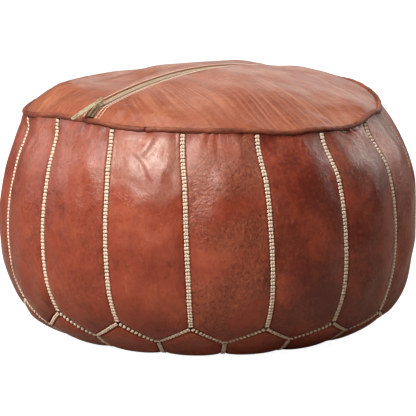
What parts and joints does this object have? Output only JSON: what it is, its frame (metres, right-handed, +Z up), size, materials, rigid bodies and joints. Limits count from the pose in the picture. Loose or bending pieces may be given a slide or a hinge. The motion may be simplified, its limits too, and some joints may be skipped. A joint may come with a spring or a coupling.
{
  "type": "leather floor pouf",
  "caption": "Round domed leather pouf with tall hand-laced side panels, a corded welt around the rim, a zip across the top and a petalled underside; used as a footstool or low seat.",
  "frame": {"origin": "centre of the belly's footprint, on the floor the pouf rests on", "axes": "+Z up through the dome; the zip runs along Y with its slider at the -Y end; +X completes a right-handed frame"},
  "size_m": [0.5606, 0.5606, 0.3562],
  "materials": {
    "side_leather": "satin",
    "top_leather": "satin",
    "welt_leather": "satin",
    "lacing_cord": "matte",
    "piping_cord": "matte",
    "tape_cloth": "matte",
    "coil_plastic": "matte",
    "zip_metal": "satin",
    "muslin": "matte",
    "fibre": "matte"
  },
  "bodies": {
    "cover": {"base_disc": "side_leather", "base_petal_01": "side_leather", "base_petal_02": "side_leather", "base_petal_03": "side_leather", "base_petal_04": "side_leather", "base_petal_05": "side_leather", "base_petal_06": "side_leather", "base_petal_07": "side_leather", "base_petal_08": "side_leather", "base_petal_09": "side_leather", "base_petal_10": "side_leather", "base_petal_11": "side_leather", "base_petal_12": "side_leather", "base_petal_13": "side_leather", "base_petal_14": "side_leather", "base_petal_15": "side_leather", "base_petal_16": "side_leather", "fibre_filling": "fibre", "insert_bag": "muslin", "rim_welt_cord": "piping_cord", "rim_welt_cover": "welt_leather", "seam_lacing": "lacing_cord", "side_panel_01": "side_leather", "side_panel_02": "side_leather", "side_panel_03": "side_leather", "side_panel_04": "side_leather", "side_panel_05": "side_leather", "side_panel_06": "side_leather", "side_panel_07": "side_leather", "side_panel_08": "side_leather", "side_panel_09": "side_leather", "side_panel_10": "side_leather", "side_panel_11": "side_leather", "side_panel_12": "side_leather", "side_panel_13": "side_leather", "side_panel_14": "side_leather", "side_panel_15": "side_leather", "side_panel_16": "side_leather", "top_panel_left": "top_leather", "top_panel_right": "top_leather", "zip_coil_left": "coil_plastic", "zip_coil_right": "coil_plastic", "zip_end_stop": "zip_metal", "zip_tape_left": "tape_cloth", "zip_tape_right": "tape_cloth", "zip_top_stop_left": "zip_metal", "zip_top_stop_right": "zip_metal"},
    "slider": {"zip_slider": "zip_metal"},
    "pull": {"zip_pull_tab": "zip_metal"}
  },
  "joints": [
    {"name": "zip_travel", "type": "hinge", "parent": "cover", "child": "slider", "pos_m": [-0.007, 0.002, -0.4938], "axis": [-1, 0, 0], "range_deg": [0, 28.5]},
    {"name": "pull_flip", "type": "hinge", "parent": "slider", "child": "pull", "pos_m": [-0.007, -0.21596, 0.33192], "axis": [-1, 0, 0], "range_deg": [0, 169]}
  ]
}
